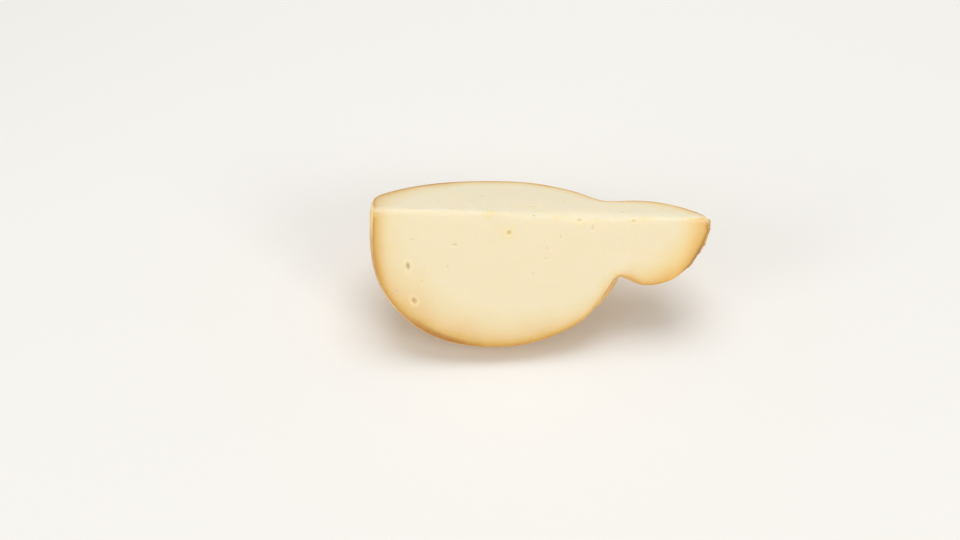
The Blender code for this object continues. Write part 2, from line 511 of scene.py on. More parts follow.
print("eyes:", len(FRONT_EYES) + len(BACK_EYES))

# %% The nearest eye
ON_CUT = 2 * MM
EYE_WOBBLE = 0.35 * MM
WOBBLE_SIZE = 1.6 * MM
WOBBLE_SEED = 5
noise.seed_set(WOBBLE_SEED)


def half_sizes_away(eye, station, from_axis):
    """How far a place on a cut is from an eye's middle, measured in the eye's own half sizes."""
    lean = radians(eye.lean)
    right = station - eye.station
    down = from_axis - eye.from_axis
    along = (right * cos(lean) + down * sin(lean)) / (eye.length / 2)
    across = (down * cos(lean) - right * sin(lean)) / (eye.width / 2)
    return hypot(along, across)


def is_front(place):
    """Whether a place is nearer to the front cut than to the back cut."""
    return -place.z > place.y


def nearest_eye(place):
    """How many half sizes away the nearest eye of the place's cut is, and that eye."""
    out_of_plane, from_axis = (place.y, -place.z) if is_front(place) else (place.z, place.y)
    if abs(out_of_plane) > ON_CUT:
        return inf, None
    shift = noise.noise_vector(Vector((place.x, from_axis, 0.0)) / WOBBLE_SIZE) * EYE_WOBBLE
    eyes = FRONT_EYES if is_front(place) else BACK_EYES
    away = [half_sizes_away(eye, place.x + shift.x, from_axis + shift.y) for eye in eyes]
    return min(away), eyes[away.index(min(away))]


# %% Push the eyes in
EYE_REACH = 2.4
EYE_CUTS = 3
PIT_FALL = 1.6
RING_AT = 1.45
RING_WIDTH = 0.5
RING_HEIGHT = 0.08 * MM
STAIN_REACH = 2.2


def refine_round_eyes(bm):
    """Subdivide the edges round the eyes, so that the grid there can hold their shape."""
    close = {vert for vert in bm.verts if nearest_eye(vert.co)[0] < EYE_REACH}
    edges = [edge for edge in bm.edges if all(vert in close for vert in edge.verts)]
    bmesh.ops.subdivide_edges(bm, edges=edges, cuts=EYE_CUTS, use_grid_fill=True)


def pit_and_ring(place):
    """How deep an eye is at a place, and how much of the swollen ring round it is there."""
    away, eye = nearest_eye(place)
    if eye is None:
        return 0.0, 0.0
    pit = eye.depth * exp(-PIT_FALL * away**2)
    ring = exp(-(((away - RING_AT) / RING_WIDTH) ** 2)) * eye.depth / MM
    return pit, ring


def stained(place):
    """How much of the yellow stain round an eye is at a place."""
    away, eye = nearest_eye(place)
    return 0.0 if eye is None else eye.stain * exp(-((away / STAIN_REACH) ** 2))


def push_in(bm):
    """Move the points round the eyes into the curd, and those on a ring a little out of it."""
    for vert in bm.verts:
        pit, ring = pit_and_ring(vert.co)
        outward = OUT_OF_FRONT if is_front(vert.co) else OUT_OF_BACK
        vert.co -= outward * (pit - RING_HEIGHT * ring)


refine_round_eyes(skin)
push_in(skin)
print("faces with the eyes:", len(skin.faces))

# %% [markdown]
# ## Lay the quarter down
#
# The tail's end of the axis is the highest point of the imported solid, and it is the origin of the
# cheese's own axes, so that one point says where the piece goes. Whatever would reach below the
# ground is pressed flat against it.

# %% From the cheese's axes to the shelf
def put_in_scene(name, data):
    """A new object for a mesh, a lamp or a camera."""
    made = bpy.data.objects.new(name, data)
    bpy.context.scene.collection.objects.link(made)
    return made


def new_piece(name, bm):
    """An object with the mesh that a bmesh holds."""
    mesh = bpy.data.meshes.new(name)
    bm.to_mesh(mesh)
    bm.free()
    return put_in_scene(name, mesh)


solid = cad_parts[NODE]
tail_end = max((vert.co for vert in solid.data.vertices), key=lambda place: place.z)
SET_DOWN = Matrix.Translation(tail_end) @ LAY_DOWN
cheese = new_piece("cheese", skin)
cheese.data.transform(SET_DOWN)
for vert in cheese.data.vertices:
    vert.co.z = max(vert.co.z, 0.0)
print("tail's end, mm:", [round(1000 * side, 1) for side in tail_end])
print("triangles:", sum(len(face.vertices) - 2 for face in cheese.data.polygons))

# %% How close the fine mesh stays to the solid
def farthest_from_solid():
    """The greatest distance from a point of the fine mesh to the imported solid's surface."""
    solid_tree = BVHTree.FromPolygons(
        [vert.co for vert in solid.data.vertices],
        [face.vertices for face in solid.data.polygons],
    )
    return max(solid_tree.find_nearest(vert.co)[3] for vert in cheese.data.vertices)


print("farthest from the solid, mm:", round(farthest_from_solid() / MM, 2))

# %% [markdown]
# ## What the materials need to know
#
# A cheese dries from outside in, so the curd's colour depends on how far below the rind it was. The
# neck dries least, and the low belly is darkest, partly from drying and partly as painted shade, so
# the true depth is stretched by a pace that changes along the cheese. That depth is stored on the
# mesh, beside how far along the cheese a point is, how far from the edge where the cuts meet, how
# deep inside an eye and how far on the ring round one. So is how dark the rim is there, brown at the
# head and painted shade on the low belly, how pale the curd beside the edge is, dried and with a
# painted highlight, how yellow the head's curd, and how stained. A shader reads them all as plain
# numbers, and they stay on the cheese however it is turned.

# %% How fast the curd pales below the rind
# The slow pace on the low belly, near 30 mm, is partly painted shade.
FRONT_PACE = by_station(
    (0, 1.15), (3, 0.80), (10, 1.08), (30, 0.47), (68, 0.80), (98, 1.2), (116, 1.85),
    (131, 3.6), (140, 6.0), (149, 2.3), (158, 2.0), (173, 1.9), (186, 0.9), (190, 1.0),
)
BACK_PACE = by_station(
    (0, 1.0), (35, 1.25), (60, 2.0), (90, 2.2), (118, 2.8), (136, 5.5), (156, 2.6),
    (190, 2.2),
)
AXIS_PACE = 0.70
AXIS_REACH = 18 * MM
QUICKENING = 60 * MM    # the depth at which the pace has grown by 1
# the millimetres that already count at the rim
RIM_START = by_station(
    (0, 0.0), (160, 0.0), (168, 0.4), (174, 2.1), (181, 0.2), (190, 0.0),
)


def pace(place):
    """How many times the true depth counts at a place. It counts for more near the axis."""
    along = between(FRONT_PACE if is_front(place) else BACK_PACE, place.x)
    from_axis = hypot(place.y, place.z)
    return along * (1 + AXIS_PACE * exp(-from_axis / AXIS_REACH))


def paced(depth, place):
    """The depth below the rind in millimetres at which average curd looks as it does here."""
    return between(RIM_START, place.x) + depth / MM * (pace(place) + depth / QUICKENING)


print("fastest pace:", max(share for station, share in FRONT_PACE))

# %% How brown and shaded the rim is along the cheese
# The head's end is brown of its own; from 28 to 60 mm, on the low belly, this is painted shade.
BROWN_AND_SHADE = by_station(
    (0, 0.15), (5, 0.05), (16, 0.1), (28, 0.45), (38, 0.9), (47, 0.9), (60, 0.35),
    (66, 0.0), (124, 0.0), (136, 0.6), (148, 0.0), (174, 0.0), (181, 0.6), (186, 1.0),
    (190, 0.5),
)
BROWN_AND_SHADE_REACH = 10 * MM


def rim_darkening(place):
    """How dark the rim is at a place: brown at the head, painted shade on the low belly.
    Beside the edge of the two cuts it isn't darkened at all.
    """
    return between(BROWN_AND_SHADE, place.x) * smooth_step(hypot(place.y, place.z) / BROWN_AND_SHADE_REACH)


print("most browned rim:", max(share for station, share in BROWN_AND_SHADE))

# %% How pale the curd is beside the edge, dried and with a painted highlight
FRONT_PALE_REACH = 5 * MM
BACK_PALE_REACH = by_station(
    (0, 9 * MM), (90, 12 * MM), (140, 18 * MM), (190, 14 * MM),
)


def edge_paleness(place):
    """How much of the edge's pale curd, dried and partly a painted highlight, is at a place.
    It reaches farther over the back cut.
    """
    reach = FRONT_PALE_REACH if is_front(place) else between(BACK_PALE_REACH, place.x)
    return smooth_step(1 - from_edge(place) / reach)


print("widest dry band, mm:", round(max(reach for station, reach in BACK_PALE_REACH) / MM))

# %% How yellow the head's curd is
TINT_FROM = 146 * MM
TINT_REACH = 26 * MM
FRONT_TINT = 0.8
BACK_TINT = 0.3


def tinted(place):
    """How much of the head's yellower tint a place takes. Less of it is on the back cut."""
    share = smooth_step((place.x - TINT_FROM) / TINT_REACH)
    return share * (FRONT_TINT if is_front(place) else BACK_TINT)


print("tint at the tip of the front cut:", FRONT_TINT)

# %% Store the measures on the mesh
def store(mesh, name, values):
    """Put a number for each point on the mesh."""
    layer = mesh.attributes.new(name, "FLOAT", "POINT")
    layer.data.foreach_set("value", values)


def points_of(mesh, slot):
    """Indices of the points whose faces have a material slot."""
    found = set()
    for face in mesh.polygons:
        if face.material_index == slot:
            found.update(face.vertices)
    return found


def store_measures(piece):
    """Store all the measures on the piece's mesh, and give the greatest depth."""
    mesh = piece.data
    own = [SET_DOWN.inverted() @ vert.co for vert in mesh.vertices]
    tree = near_rim(front_rim + back_rim)
    depth = [0.0] * len(own)
    for index in points_of(mesh, CURD_SLOT):
        depth[index] = paced(tree.find(own[index])[2], own[index])
    eyes = [pit_and_ring(place) for place in own]
    store(mesh, "depth", depth)
    store(mesh, "sunk", [pit / MM for pit, ring in eyes])
    store(mesh, "ring", [ring for pit, ring in eyes])
    for name, share in (("brown_and_shade", rim_darkening), ("tint", tinted), ("pale_edge", edge_paleness), ("stain", stained)):
        store(mesh, name, [share(place) for place in own])
    store(mesh, "station", [place.x / MM for place in own])
    store(mesh, "ridge", [from_edge(place) / MM for place in own])
    return max(depth)


print("deepest curd on a cut, paced, mm:", round(store_measures(cheese), 1))

# %% [markdown]
# ## Node groups that both finishes share
#
# Curd and rind are both uneven in the same ways: cloudy patches and grain, pores, and a net of fine
# creases, which are the stretched fibres in the curd and the wrinkles in the rind. Each is a node
# group with its own size, so the two materials can use it at different scales. A group gives out only
# numbers. The shader stays in the material.

# %% Small helpers for nodes
WHOLE = (0.0, 1.0)
FALLING = (1.0, 0.0)


def add(tree, kind, **settings):
    """A new node with its settings."""
    made = tree.nodes.new(kind)
    for name, value in settings.items():
        setattr(made, name, value)
    return made


def feed(tree, value, socket):
    """Link an output to a socket, or set the socket to a plain value."""
    if isinstance(value, bpy.types.NodeSocket):
        tree.links.new(value, socket)
    else:
        socket.default_value = value


def math_node(tree, operation, first, second):
    """A Math node. Each input is a socket to link from or a plain number."""
    made = add(tree, "ShaderNodeMath", operation=operation)
    for socket, value in zip(made.inputs, (first, second)):
        feed(tree, value, socket)
    return made.outputs["Value"]


def product(tree, first, second):
    """Two values multiplied."""
    return math_node(tree, "MULTIPLY", first, second)


def map_range(tree, value, given, wanted):
    """Spread a value's given range over the wanted one, and stop at its ends."""
    made = add(tree, "ShaderNodeMapRange", clamp=True)
    feed(tree, value, made.inputs["Value"])
    for name, end in zip(("From Min", "From Max", "To Min", "To Max"), (*given, *wanted)):
        feed(tree, end, made.inputs[name])
    return made.outputs["Result"]


# %% Helpers for node groups
def new_group(name, numbers):
    """An empty node group: a Place and the named numbers go in, and a Value comes out."""
    tree = bpy.data.node_groups.new(name, "ShaderNodeTree")
    tree.interface.new_socket(name="Place", in_out="INPUT", socket_type="NodeSocketVector")
    for label in numbers:
        tree.interface.new_socket(name=label, in_out="INPUT", socket_type="NodeSocketFloat")
    tree.interface.new_socket(name="Value", in_out="OUTPUT", socket_type="NodeSocketFloat")
    return tree, add(tree, "NodeGroupInput"), add(tree, "NodeGroupOutput")


def use_group(tree, group, place, **numbers):
    """Put a group in a tree with its own numbers, and give the Value that comes out."""
    made = add(tree, "ShaderNodeGroup", node_tree=group)
    tree.links.new(place, made.inputs["Place"])
    for name, number in numbers.items():
        made.inputs[name.title()].default_value = number
    return made.outputs["Value"]


def scaled_place(tree, given):
    """A group's Place in units of its Size, so that its textures can all have a scale of 1."""
    made = add(tree, "ShaderNodeVectorMath", operation="DIVIDE")
    tree.links.new(given.outputs["Place"], made.inputs[0])
    tree.links.new(given.outputs["Size"], made.inputs[1])
    return made.outputs["Vector"]


def texture(tree, kind, place, scale=1.0):
    """A texture node that reads a place."""
    made = add(tree, kind)
    made.inputs["Scale"].default_value = scale
    tree.links.new(place, made.inputs["Vector"])
    return made


# %% Cloudy patches
CLOUD_MIDDLE = (0.3, 0.7)


def make_clouds():
    """Soft patches from 0 to 1, of a size in metres."""
    tree, given, result = new_group("clouds", ("Size", "Detail"))
    cloud = texture(tree, "ShaderNodeTexNoise", scaled_place(tree, given))
    tree.links.new(given.outputs["Detail"], cloud.inputs["Detail"])
    spread = map_range(tree, cloud.outputs["Fac"], CLOUD_MIDDLE, WHOLE)
    tree.links.new(spread, result.inputs["Value"])
    return tree


clouds = make_clouds()
print("nodes for clouds:", len(clouds.nodes))

# %% Pores
PORE_WOBBLE = 0.12
PORE_WOBBLE_SCALE = 6.0
PORE_SIZES = (0.02, 0.14)
PORE_SOFTNESS = 2.2


def make_pores():
    """Pores up to a size in metres, 1 in the middle of each. Share says how many places have one."""
    tree, given, result = new_group("pores", ("Size", "Share"))
    closer = scaled_place(tree, given)
    wobble = texture(tree, "ShaderNodeTexNoise", closer, PORE_WOBBLE_SCALE)
    uneven = add(tree, "ShaderNodeVectorMath", operation="MULTIPLY_ADD")
    uneven.inputs[1].default_value = (PORE_WOBBLE, PORE_WOBBLE, PORE_WOBBLE)
    tree.links.new(wobble.outputs["Color"], uneven.inputs[0])
    tree.links.new(closer, uneven.inputs[2])
    cells = texture(tree, "ShaderNodeTexVoronoi", uneven.outputs["Vector"])
    lot = add(tree, "ShaderNodeSeparateColor")
    tree.links.new(cells.outputs["Color"], lot.inputs["Color"])
    middle = map_range(tree, lot.outputs["Green"], WHOLE, PORE_SIZES)
    edge = product(tree, middle, PORE_SOFTNESS)
    dot = map_range(tree, cells.outputs["Distance"], (middle, edge), FALLING)
    chosen = math_node(tree, "LESS_THAN", lot.outputs["Red"], given.outputs["Share"])
    tree.links.new(product(tree, dot, chosen), result.inputs["Value"])
    return tree


pores = make_pores()
print("nodes for pores:", len(pores.nodes))

# %% Creases
CREASE_DETAIL = 2.0
NOISE_MEAN = 0.5


def make_creases():
    """A net of thin lines, 1 in their middle, where a noise of a size in metres crosses its mean."""
    tree, given, result = new_group("creases", ("Size", "Width"))
    web = texture(tree, "ShaderNodeTexNoise", scaled_place(tree, given))
    web.inputs["Detail"].default_value = CREASE_DETAIL
    over_mean = math_node(tree, "SUBTRACT", web.outputs["Fac"], NOISE_MEAN)
    from_mean = math_node(tree, "ABSOLUTE", over_mean, 0.0)
    line = map_range(tree, from_mean, (0.0, given.outputs["Width"]), FALLING)
    tree.links.new(line, result.inputs["Value"])
    return tree


creases = make_creases()
print("node groups:", len(bpy.data.node_groups))

# %% [markdown]
# ## The curd
#
# Cut curd is ivory in the middle. Towards the rind it has dried and yellowed: a wide straw-coloured
# fade, then a narrow amber band, and a thin brown line at the skin itself. A colour ramp over the
# stored depth draws all of it, and clouds shift that depth a little so the bands aren't even. One
# function for each further mark then lays its colour over the last: the head's yellower tint, the
# dark rim, brown at the head and painted shade on the low belly, the stains, the pale flakes that
# dried beside the edge with a painted highlight along it, and the eyes, with painted shade inside
# them and in the pinholes. Light goes a few millimetres into curd, so the shader scatters some of it
# below the surface.

# %% Colour helpers
def srgb(red, green, blue):
    """A linear colour from one given in the 0 to 255 values of a picture."""
    linear = []
    for level in (red, green, blue):
        share = level / 255
        linear.append(share / 12.92 if share <= 0.04045 else ((share + 0.055) / 1.055) ** 2.4)
    return (*linear, 1.0)


def ramp(tree, value, stops):
    """A colour ramp over a value from 0 to 1, with a colour at each (position, colour) stop."""
    made = add(tree, "ShaderNodeValToRGB")
    elements = made.color_ramp.elements
    elements[0].position, elements[0].color = stops[0]
    elements[1].position, elements[1].color = stops[-1]
    for position, colour in stops[1:-1]:
        elements.new(position).color = colour
    feed(tree, value, made.inputs["Fac"])
    return made.outputs["Color"]


def mix_colour(tree, share, first, second, blend="MIX"):
    """The first colour with a share of the second over it."""
    made = add(tree, "ShaderNodeMix", data_type="RGBA", blend_type=blend)
    feed(tree, share, made.inputs["Factor"])
    feed(tree, first, made.inputs["A"])
    feed(tree, second, made.inputs["B"])
    return made.outputs["Result"]


def stored(tree, name):
    """A measure that store_measures put on the mesh."""
    return add(tree, "ShaderNodeAttribute", attribute_name=name).outputs["Fac"]


# %% Places for patterns
def cheese_axes(tree):
    """Object coordinates turned into the cheese's own axes."""
    coordinates = add(tree, "ShaderNodeTexCoord")
    turned = add(tree, "ShaderNodeMapping", vector_type="POINT")
    turned.inputs["Rotation"].default_value = LAY_DOWN.inverted().to_euler()
    tree.links.new(coordinates.outputs["Object"], turned.inputs["Vector"])
    return turned.outputs["Vector"]


def stretched(tree, place, along):
    """The same place with the cheese's length squeezed, so patterns on it are drawn out."""
    made = add(tree, "ShaderNodeMapping", vector_type="POINT")
    made.inputs["Scale"].default_value = (1 / along, 1.0, 1.0)
    tree.links.new(place, made.inputs["Vector"])
    return made.outputs["Vector"]


# %% Helpers for materials
def new_material(name, finish):
    """A material whose shader has the finish: what is the same all over the surface."""
    made = bpy.data.materials.new(name)
    made.use_nodes = True
    tree = made.node_tree
    shader = tree.nodes["Principled BSDF"]
    for socket, value in finish.items():
        shader.inputs[socket].default_value = value
    return made, tree, shader


def bump(tree, height, distance, strength):
    """The normal of a relief whose height is given as a share of a distance."""
    made = add(tree, "ShaderNodeBump")
    made.inputs["Distance"].default_value = distance
    made.inputs["Strength"].default_value = strength
    tree.links.new(height, made.inputs["Height"])
    return made.outputs["Normal"]


# %% Curd colours and finish
DEEPEST = 30.0    # millimetres below the rind at which the curd no longer changes
CURD_BY_DEPTH = (
    (0.0, srgb(184, 130, 54)),
    (0.6, srgb(206, 155, 70)),
    (2.5, srgb(223, 182, 105)),
    (5.0, srgb(233, 199, 140)),
    (9.0, srgb(238, 212, 162)),
    (16.0, srgb(240, 222, 179)),
    (DEEPEST, srgb(242, 228, 194)),
)
YELLOWED = srgb(238, 214, 164)
# Burnt brown of the rim, which on the low belly is painted shade.
SCORCH_AND_SHADE = srgb(170, 108, 46)
HEAD_BROWN = srgb(148, 103, 66)
STAINED = srgb(240, 218, 148)
HEAD_TINT = srgb(255, 240, 199)
# Pale dried curd along the edge where the cuts meet, partly a painted highlight.
PALE_EDGE = srgb(241, 232, 206)
EYE_SHADE = srgb(190, 160, 106)
EYE_RING = srgb(252, 232, 186)
CURD_FINISH = {
    "Specular IOR Level": 0.35,
    "Subsurface Weight": 0.25,
    "Subsurface Radius": (1.0, 0.65, 0.35),
    "Subsurface Scale": 2.0 * MM,
}
print("stops of the curd's ramp:", len(CURD_BY_DEPTH))

# %% Curd by depth
PATCH_SHIFT = (0.8, 1.2)
PATCH_YELLOW = (0.0, 0.10)
TINT_STARTS = (0.0, 7.0)
TINT_AT_RIM = (0.15, 1.0)
TINT_ENDS = (16.0, 60.0)


def curd_by_depth(tree, patches):
    """The curd's colour from its stored depth. Patches stretch the depth and yellow the curd."""
    shift = map_range(tree, patches, WHOLE, PATCH_SHIFT)
    depth = product(tree, stored(tree, "depth"), shift)
    share = math_node(tree, "DIVIDE", depth, DEEPEST)
    body = ramp(tree, share, [(mm / DEEPEST, colour) for mm, colour in CURD_BY_DEPTH])
    return mix_colour(tree, map_range(tree, patches, WHOLE, PATCH_YELLOW), body, YELLOWED)


def with_head_tint(tree, body):
    """A yellower filter over the head. It grows just below the rind and ends far inside."""
    outer = map_range(tree, stored(tree, "depth"), TINT_ENDS, FALLING)
    inner = map_range(tree, stored(tree, "depth"), TINT_STARTS, TINT_AT_RIM)
    share = product(tree, stored(tree, "tint"), product(tree, outer, inner))
    return mix_colour(tree, share, body, HEAD_TINT, blend="MULTIPLY")


# %% Brown rim and painted shade
DARK_RIM = (0.6, 2.4)
SPECK_SHARE = (0.75, 1.05)


def with_dark_rim(tree, place, body):
    """A dark line at the rim, in uneven specks and duller at the head: brown at the head's end,
    painted shade on the low belly.
    """
    at_rim = map_range(tree, stored(tree, "depth"), DARK_RIM, FALLING)
    specks = use_group(tree, clouds, place, size=2.4 * MM, detail=3.0)
    uneven = map_range(tree, specks, WHOLE, SPECK_SHARE)
    darkening = product(tree, stored(tree, "brown_and_shade"), uneven)
    rim_dark = mix_colour(tree, stored(tree, "tint"), SCORCH_AND_SHADE, HEAD_BROWN)
    return mix_colour(tree, product(tree, darkening, at_rim), body, rim_dark)


# %% Stains, and the pale edge with its painted highlight
SMEAR_TOP = (0.6, 1.0)
SMEAR_SHARE = (0.0, 0.6)
SMEAR_RIDGE = (2.0, 12.0)
SMEAR_FADE = (1.0, 0.15)
FLAKE_STRETCH = 3.0
FLAKE_MIDDLE = (0.2, 0.8)
FLAKE_SHARE = (0.75, 0.1)


def with_stains(tree, place, body):
    """Yellow smears, most of them near the edge, and the stains round some eyes."""
    smears = use_group(tree, clouds, place, size=9 * MM, detail=2.0)
    near_edge = map_range(tree, stored(tree, "ridge"), SMEAR_RIDGE, SMEAR_FADE)
    stains = product(tree, map_range(tree, smears, SMEAR_TOP, SMEAR_SHARE), near_edge)
    stains = math_node(tree, "MAXIMUM", stains, stored(tree, "stain"))
    return mix_colour(tree, stains, body, STAINED)


def with_pale_edge(tree, place, body):
    """Pale flakes of dried curd and a painted highlight, drawn out along the edge where the cuts meet.
    """
    drawn_far = stretched(tree, place, FLAKE_STRETCH)
    flakes = use_group(tree, clouds, drawn_far, size=2.2 * MM, detail=3.0)
    strongest = map_range(tree, flakes, FLAKE_MIDDLE, FLAKE_SHARE)
    return mix_colour(tree, product(tree, stored(tree, "pale_edge"), strongest), body, PALE_EDGE)


# %% Colour of the eyes
RING_SHARE = 0.38
PIT_DEPTHS = (0.1, 1.1)
PIT_SHARE = (0.0, 0.75)
PINHOLE_SHARE = 0.3


def with_eyes(tree, pinholes, body):
    """A pale ring round each eye, and shade inside it and in the pinholes."""
    swollen = product(tree, stored(tree, "ring"), RING_SHARE)
    body = mix_colour(tree, swollen, body, EYE_RING)
    inside = map_range(tree, stored(tree, "sunk"), PIT_DEPTHS, PIT_SHARE)
    dark = math_node(tree, "MAXIMUM", product(tree, pinholes, PINHOLE_SHARE), inside)
    return mix_colour(tree, dark, body, EYE_SHADE)


# %% Curd material
CURD_STRETCH = 1.7
CURD_ROUGHNESS = (0.40, 0.56)
FIBRE_DEPTH = 0.45
CURD_RELIEF = 0.15 * MM
CURD_BUMP = 0.4


def make_curd():
    """The finish of both cuts."""
    made, tree, shader = new_material("cut_curd", CURD_FINISH)
    place = cheese_axes(tree)
    drawn_out = stretched(tree, place, CURD_STRETCH)
    patches = use_group(tree, clouds, place, size=22 * MM, detail=3.0)
    grain = use_group(tree, clouds, place, size=1.3 * MM, detail=6.0)
    pinholes = use_group(tree, pores, drawn_out, size=5 * MM, share=0.10)
    fibres = use_group(tree, creases, drawn_out, size=3.5 * MM, width=0.06)

    body = with_head_tint(tree, curd_by_depth(tree, patches))
    body = with_dark_rim(tree, place, body)
    body = with_stains(tree, place, body)
    body = with_pale_edge(tree, place, body)
    body = with_eyes(tree, pinholes, body)
    tree.links.new(body, shader.inputs["Base Color"])

    rough = map_range(tree, grain, WHOLE, CURD_ROUGHNESS)
    tree.links.new(rough, shader.inputs["Roughness"])
    dips = math_node(tree, "MAXIMUM", pinholes, product(tree, fibres, FIBRE_DEPTH))
    relief = math_node(tree, "SUBTRACT", grain, dips)
    tree.links.new(bump(tree, relief, CURD_RELIEF, CURD_BUMP), shader.inputs["Normal"])
    return made


cut_curd = make_curd()
print("nodes of the curd:", len(cut_curd.node_tree.nodes))

# %% [markdown]
# ## The rind
#
# The rind is the same curd, dried hard: straw to amber, a little browner at the neck, browner at the
# puckered head where it dried longest, and a little darker on the low belly as painted shade, with a
# thin pale bloom rubbed off the high spots. It is smoother and a little oilier than the cut, so its
# highlights are tighter. Fine wrinkles run along it, which the squeezed coordinates give, with painted
# shade in them. Its colour is built up as the curd's is, from the ground colour to the spots, with a
# function for each end of the cheese: painted light and painted shade on the tail's end, brown at the
# head.

# %% Rind colours and finish
STRAW = srgb(243, 208, 144)
AMBER = srgb(224, 176, 102)
HONEY = srgb(206, 150, 72)
BROWN = srgb(164, 116, 60)
BLOOM = srgb(248, 224, 174)
# Painted light on the tail's end, beside the edge where the cuts meet.
LIT_TAIL = srgb(253, 222, 153)
RIND_FINISH = {
    "Specular IOR Level": 0.5,
    "Subsurface Weight": 0.20,
    "Subsurface Radius": (1.0, 0.55, 0.22),
    "Subsurface Scale": 2.5 * MM,
}
STREAK_SHARE = 0.35
MOTTLE_TOP = (0.6, 1.0)
MOTTLE_SHARE = (0.0, 0.35)
BLOOM_TOP = (0.5, 1.0)
BLOOM_SHARE = (0.0, 0.5)


def rind_ground(tree, patches, streaks, mottles, grain):
    """Straw and amber in patches and streaks, with honey mottles and a pale bloom."""
    body = mix_colour(tree, patches, STRAW, AMBER)
    body = mix_colour(tree, product(tree, streaks, STREAK_SHARE), body, AMBER)
    body = mix_colour(tree, map_range(tree, mottles, MOTTLE_TOP, MOTTLE_SHARE), body, HONEY)
    bloomed = product(tree, grain, map_range(tree, streaks, BLOOM_TOP, BLOOM_SHARE))
    return mix_colour(tree, bloomed, body, BLOOM)


# %% Rind at the two ends
TAIL_END = (0.0, 14.0)
LIT_RIDGE = (2.0, 22.0)
LIT_SHARE = (0.9, 0.0)
TAIL_SHADE_RIDGE = (8.0, 34.0)
TAIL_SHADE_SHARE = (0.0, 0.85)
HEAD_END = (174.0, 190.0)
HEAD_SHARE = (0.0, 0.4)
HEAD_MOTTLES = (0.2, 0.9)
HEAD_UNEVEN = (0.2, 1.6)
BROWN_AND_SHADE_SHARE = 0.2


def with_lit_and_shaded_tail(tree, body):
    """The tail's flat end has painted light beside the edge where the cuts meet, and painted shade
    in honey far below it.
    """
    by_tail = map_range(tree, stored(tree, "station"), TAIL_END, FALLING)
    lit_by_edge = map_range(tree, stored(tree, "ridge"), LIT_RIDGE, LIT_SHARE)
    body = mix_colour(tree, product(tree, by_tail, lit_by_edge), body, LIT_TAIL)
    # Painted shade: the tail's end darkens to honey far below the edge.
    shaded_far_down = map_range(tree, stored(tree, "ridge"), TAIL_SHADE_RIDGE, TAIL_SHADE_SHARE)
    return mix_colour(tree, product(tree, by_tail, shaded_far_down), body, HONEY)


def with_brown_head_and_shade(tree, mottles, body):
    """The head's gathered end is brown in mottles, and a little brown goes wherever the rim darkens,
    which on the low belly is painted shade.
    """
    head_end = map_range(tree, stored(tree, "station"), HEAD_END, HEAD_SHARE)
    uneven = map_range(tree, mottles, HEAD_MOTTLES, HEAD_UNEVEN)
    body = mix_colour(tree, product(tree, head_end, uneven), body, BROWN)
    # Painted shade on the low belly's rind, and brown at the head, from the rim's darkening.
    return mix_colour(tree, product(tree, stored(tree, "brown_and_shade"), BROWN_AND_SHADE_SHARE), body, BROWN)


# %% Rind material
RIND_STRETCH = 4.0
RIND_ROUGHNESS = (0.30, 0.50)
SPOT_SHARE = 0.25
WRINKLE_SHADE = 0.10
GRAIN_HEIGHT = 0.3
RIND_RELIEF = 0.25 * MM
RIND_BUMP = 0.5


def make_rind():
    """The finish of the dried skin."""
    made, tree, shader = new_material("golden_rind", RIND_FINISH)
    place = cheese_axes(tree)
    along = stretched(tree, place, RIND_STRETCH)
    patches = use_group(tree, clouds, place, size=30 * MM, detail=4.0)
    streaks = use_group(tree, clouds, along, size=3.2 * MM, detail=5.0)
    mottles = use_group(tree, clouds, place, size=5 * MM, detail=5.0)
    grain = use_group(tree, clouds, place, size=0.9 * MM, detail=5.0)
    spots = use_group(tree, pores, along, size=4 * MM, share=0.10)
    wrinkles = use_group(tree, creases, along, size=3.5 * MM, width=0.10)
    wrinkles = product(tree, wrinkles, patches)

    body = rind_ground(tree, patches, streaks, mottles, grain)
    body = with_brown_head_and_shade(tree, mottles, with_lit_and_shaded_tail(tree, body))
    body = mix_colour(tree, product(tree, spots, SPOT_SHARE), body, BROWN)
    # Painted shade in the rind's wrinkles.
    body = mix_colour(tree, product(tree, wrinkles, WRINKLE_SHADE), body, BROWN)
    tree.links.new(body, shader.inputs["Base Color"])

    rough = map_range(tree, mottles, WHOLE, RIND_ROUGHNESS)
    tree.links.new(rough, shader.inputs["Roughness"])
    height = math_node(tree, "ADD", streaks, product(tree, grain, GRAIN_HEIGHT))
    height = math_node(tree, "SUBTRACT", height, spots)
    height = math_node(tree, "SUBTRACT", height, wrinkles)
    tree.links.new(bump(tree, height, RIND_RELIEF, RIND_BUMP), shader.inputs["Normal"])
    return made


golden_rind = make_rind()
print("nodes of the rind:", len(golden_rind.node_tree.nodes))

# %% Dress the cheese
SHARPEST_SMOOTH = radians(38)
cheese.data.materials.append(golden_rind)
cheese.data.materials.append(cut_curd)
cheese.data.shade_smooth()
cheese.data.set_sharp_from_angle(angle=SHARPEST_SMOOTH)
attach(cheese, "root")
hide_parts(NODE)
print("materials:", [slot.name for slot in cheese.data.materials])

# %% [markdown]
# ## Floor, light and camera
#
# The piece lies on a plain pale floor. A large soft lamp stands to the front and right, so that the
# steep cut is bright, with a cooler one overhead for the flatter cut and a weak one at the left.
# The left one stands low, so a narrow spread, like a grid on a real lamp, keeps it off the floor.
# Large lamps near a small object give the soft-edged shade of a studio. The camera looks down from
# the front at about half a right angle. The lamps are too near to reach the far floor, so it glows
# a little instead, and from any side the piece stands on one even pale ground.

# %% Floor
FLOOR_REACH = 20.0
GLOW_FULL = 1.9
FAR_GLOW = srgb(175, 175, 173)
NO_GLOW = srgb(0, 0, 0)
FLOOR_FINISH = {
    "Base Color": srgb(236, 233, 228),
    "Roughness": 0.75,
    "Specular IOR Level": 0.2,
    "Emission Strength": 1.0,
}


